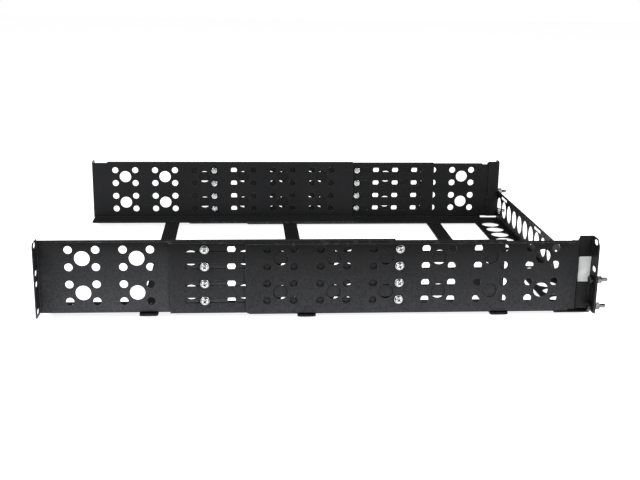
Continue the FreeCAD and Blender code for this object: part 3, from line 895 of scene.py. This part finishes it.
def makeLabel():
    # thin card with rounded corners and a slight lift at two of them
    earLow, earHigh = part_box("left_front_section")
    columns, rows = label["columns"], label["rows"]
    shape = bmesh.new()
    layers = []
    for lift in (label["glue"], label["thick"]):
        grid = []
        for row in range(rows + 1):
            line = []
            for column in range(columns + 1):
                x = (column / columns - 0.5) * label["wide"]
                z = (row / rows - 0.5) * label["high"]
                line.append(roundedPoint(x, z, lift, shape))
            grid.append(line)
        layers.append(grid)
    closeSheet(shape, layers)
    mesh = meshFromBmesh("blankLabel", shape, 40)
    middle = Vector((earHigh.x - label["backFromFlange"] + label["wide"] / 2, -label["side"],
                     earLow.z + label["bottomFromEar"] + label["high"] / 2))
    mesh.transform(Matrix.Translation(middle) @ Matrix.Rotation(math.radians(label["tilt"]), 4, "Y"))
    mesh.materials.append(finishes["paper"])
    piece = addObject("blankLabel", mesh)
    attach(piece, "front_frame")


def roundedPoint(x, z, lift, shape):
    # pulls the grid's corners in to an arc and lets two of them stand off a little
    halfX, halfZ, corner = label["wide"] / 2, label["high"] / 2, label["corner"]
    overX, overZ = abs(x) - (halfX - corner), abs(z) - (halfZ - corner)
    if overX > 0 and overZ > 0:
        reach = math.hypot(overX, overZ)
        scale = max(overX, overZ) / reach
        x = math.copysign(halfX - corner + overX * scale, x)
        z = math.copysign(halfZ - corner + overZ * scale, z)
    loose = max(0.0, (x / halfX) * (z / halfZ) - label["looseFrom"])
    return shape.verts.new((x, -lift - label["looseLift"] * loose * loose, z))


def closeSheet(shape, layers):
    # faces of both sides of the card, and the rim between them
    back, front = layers
    rows, columns = len(back) - 1, len(back[0]) - 1
    for row in range(rows):
        for column in range(columns):
            for grid in (back, front):
                shape.faces.new((grid[row][column], grid[row][column + 1],
                                 grid[row + 1][column + 1], grid[row + 1][column]))
    rim = [(0, column) for column in range(columns)]
    rim += [(row, columns) for row in range(rows)]
    rim += [(rows, columns - column) for column in range(columns)]
    rim += [(rows - row, 0) for row in range(rows)]
    for (row, column), (nextRow, nextColumn) in zip(rim, rim[1:] + rim[:1]):
        shape.faces.new((back[row][column], back[nextRow][nextColumn],
                         front[nextRow][nextColumn], front[row][column]))


makeLabel()
print("label made")


studio = {"floorHalf": 6.0, "floor": (0.86, 0.86, 0.865), "floorRough": 0.9, "glow": 0.87, "world": 0.12}


def makeFloor():
    shape = bmesh.new()
    bmesh.ops.create_grid(shape, x_segments=8, y_segments=8, size=studio["floorHalf"])
    mesh = bpy.data.meshes.new("floor")
    shape.to_mesh(mesh)
    shape.free()
    material, tree, shader = newMaterial("paleFloor")
    shader.inputs["Base Color"].default_value = (*studio["floor"], 1)
    shader.inputs["Roughness"].default_value = studio["floorRough"]
    shader.inputs["Emission Color"].default_value = (1, 1, 1, 1)
    seen = addNode(tree, "ShaderNodeLightPath", (0, -300)).outputs
    direct = mathNode(tree, "MAXIMUM", (seen["Is Camera Ray"], seen["Is Glossy Ray"]), (200, -300))
    direct = mathNode(tree, "MAXIMUM", (direct, seen["Is Transmission Ray"]), (350, -300))
    join(tree, mathNode(tree, "MULTIPLY", (direct, studio["glow"]), (500, -300)),
         shader.inputs["Emission Strength"])
    mesh.materials.append(material)
    floor = addObject("floor", mesh)


def makeWorld():
    world = bpy.data.worlds.new("studio")
    bpy.context.scene.world = world
    world.use_nodes = True
    tree = world.node_tree
    back = tree.nodes["Background"]
    back.inputs["Color"].default_value = (1, 1, 1, 1)
    seen = addNode(tree, "ShaderNodeLightPath", (-700, 0)).outputs
    direct = mathNode(tree, "MAXIMUM", (seen["Is Camera Ray"], seen["Is Transmission Ray"]), (-500, 0))
    strength = remap(tree, direct, (0, 1), (-250, 0), into=(studio["world"], 1))
    join(tree, strength, back.inputs["Strength"])


softLights = {
    # place, aimed at, width, depth, power
    "keyLight": ((-1.25, -0.9, 1.15), (-0.35, 0.05, 0.05), 1.0, 1.0, 31),
    "fillLight": ((1.3, -0.95, 1.0), (0.3, 0, 0.05), 1.0, 1.0, 29),
    "topLight": ((0.0, 0.1, 1.7), (0, 0, 0.0), 1.2, 1.0, 2),
}


def makeLights():
    for name, (place, target, wide, deep, power) in softLights.items():
        lamp = bpy.data.lights.new(name, "AREA")
        lamp.shape = "RECTANGLE"
        lamp.size = wide
        lamp.size_y = deep
        lamp.energy = power
        light = addObject(name, lamp)
        light.location = place
        light.rotation_euler = (Vector(target) - Vector(place)).to_track_quat("-Z", "Y").to_euler()
        light.visible_camera = False


view = {
    "place": (-0.09529, -1.32078, 0.39249),
    "pitch": -15.30, "yaw": -4.52, "roll": -0.90,
    "lens": 57.31, "sensor": 36,
}


def makeCamera():
    camera = bpy.data.cameras.new("camera")
    camera.lens = view["lens"]
    camera.sensor_width = view["sensor"]
    holder = addObject("camera", camera)
    holder.matrix_world = (Matrix.Translation(view["place"])
                           @ Matrix.Rotation(math.radians(view["yaw"]), 4, "Z")
                           @ Matrix.Rotation(math.radians(view["pitch"]), 4, "X")
                           @ Matrix.Rotation(math.radians(view["roll"]), 4, "Y")
                           @ Matrix.Rotation(math.radians(90), 4, "X"))
    bpy.context.scene.camera = holder


makeFloor()
makeWorld()
makeLights()
makeCamera()
bpy.context.scene.view_settings.view_transform = "Standard"
print("studio set")
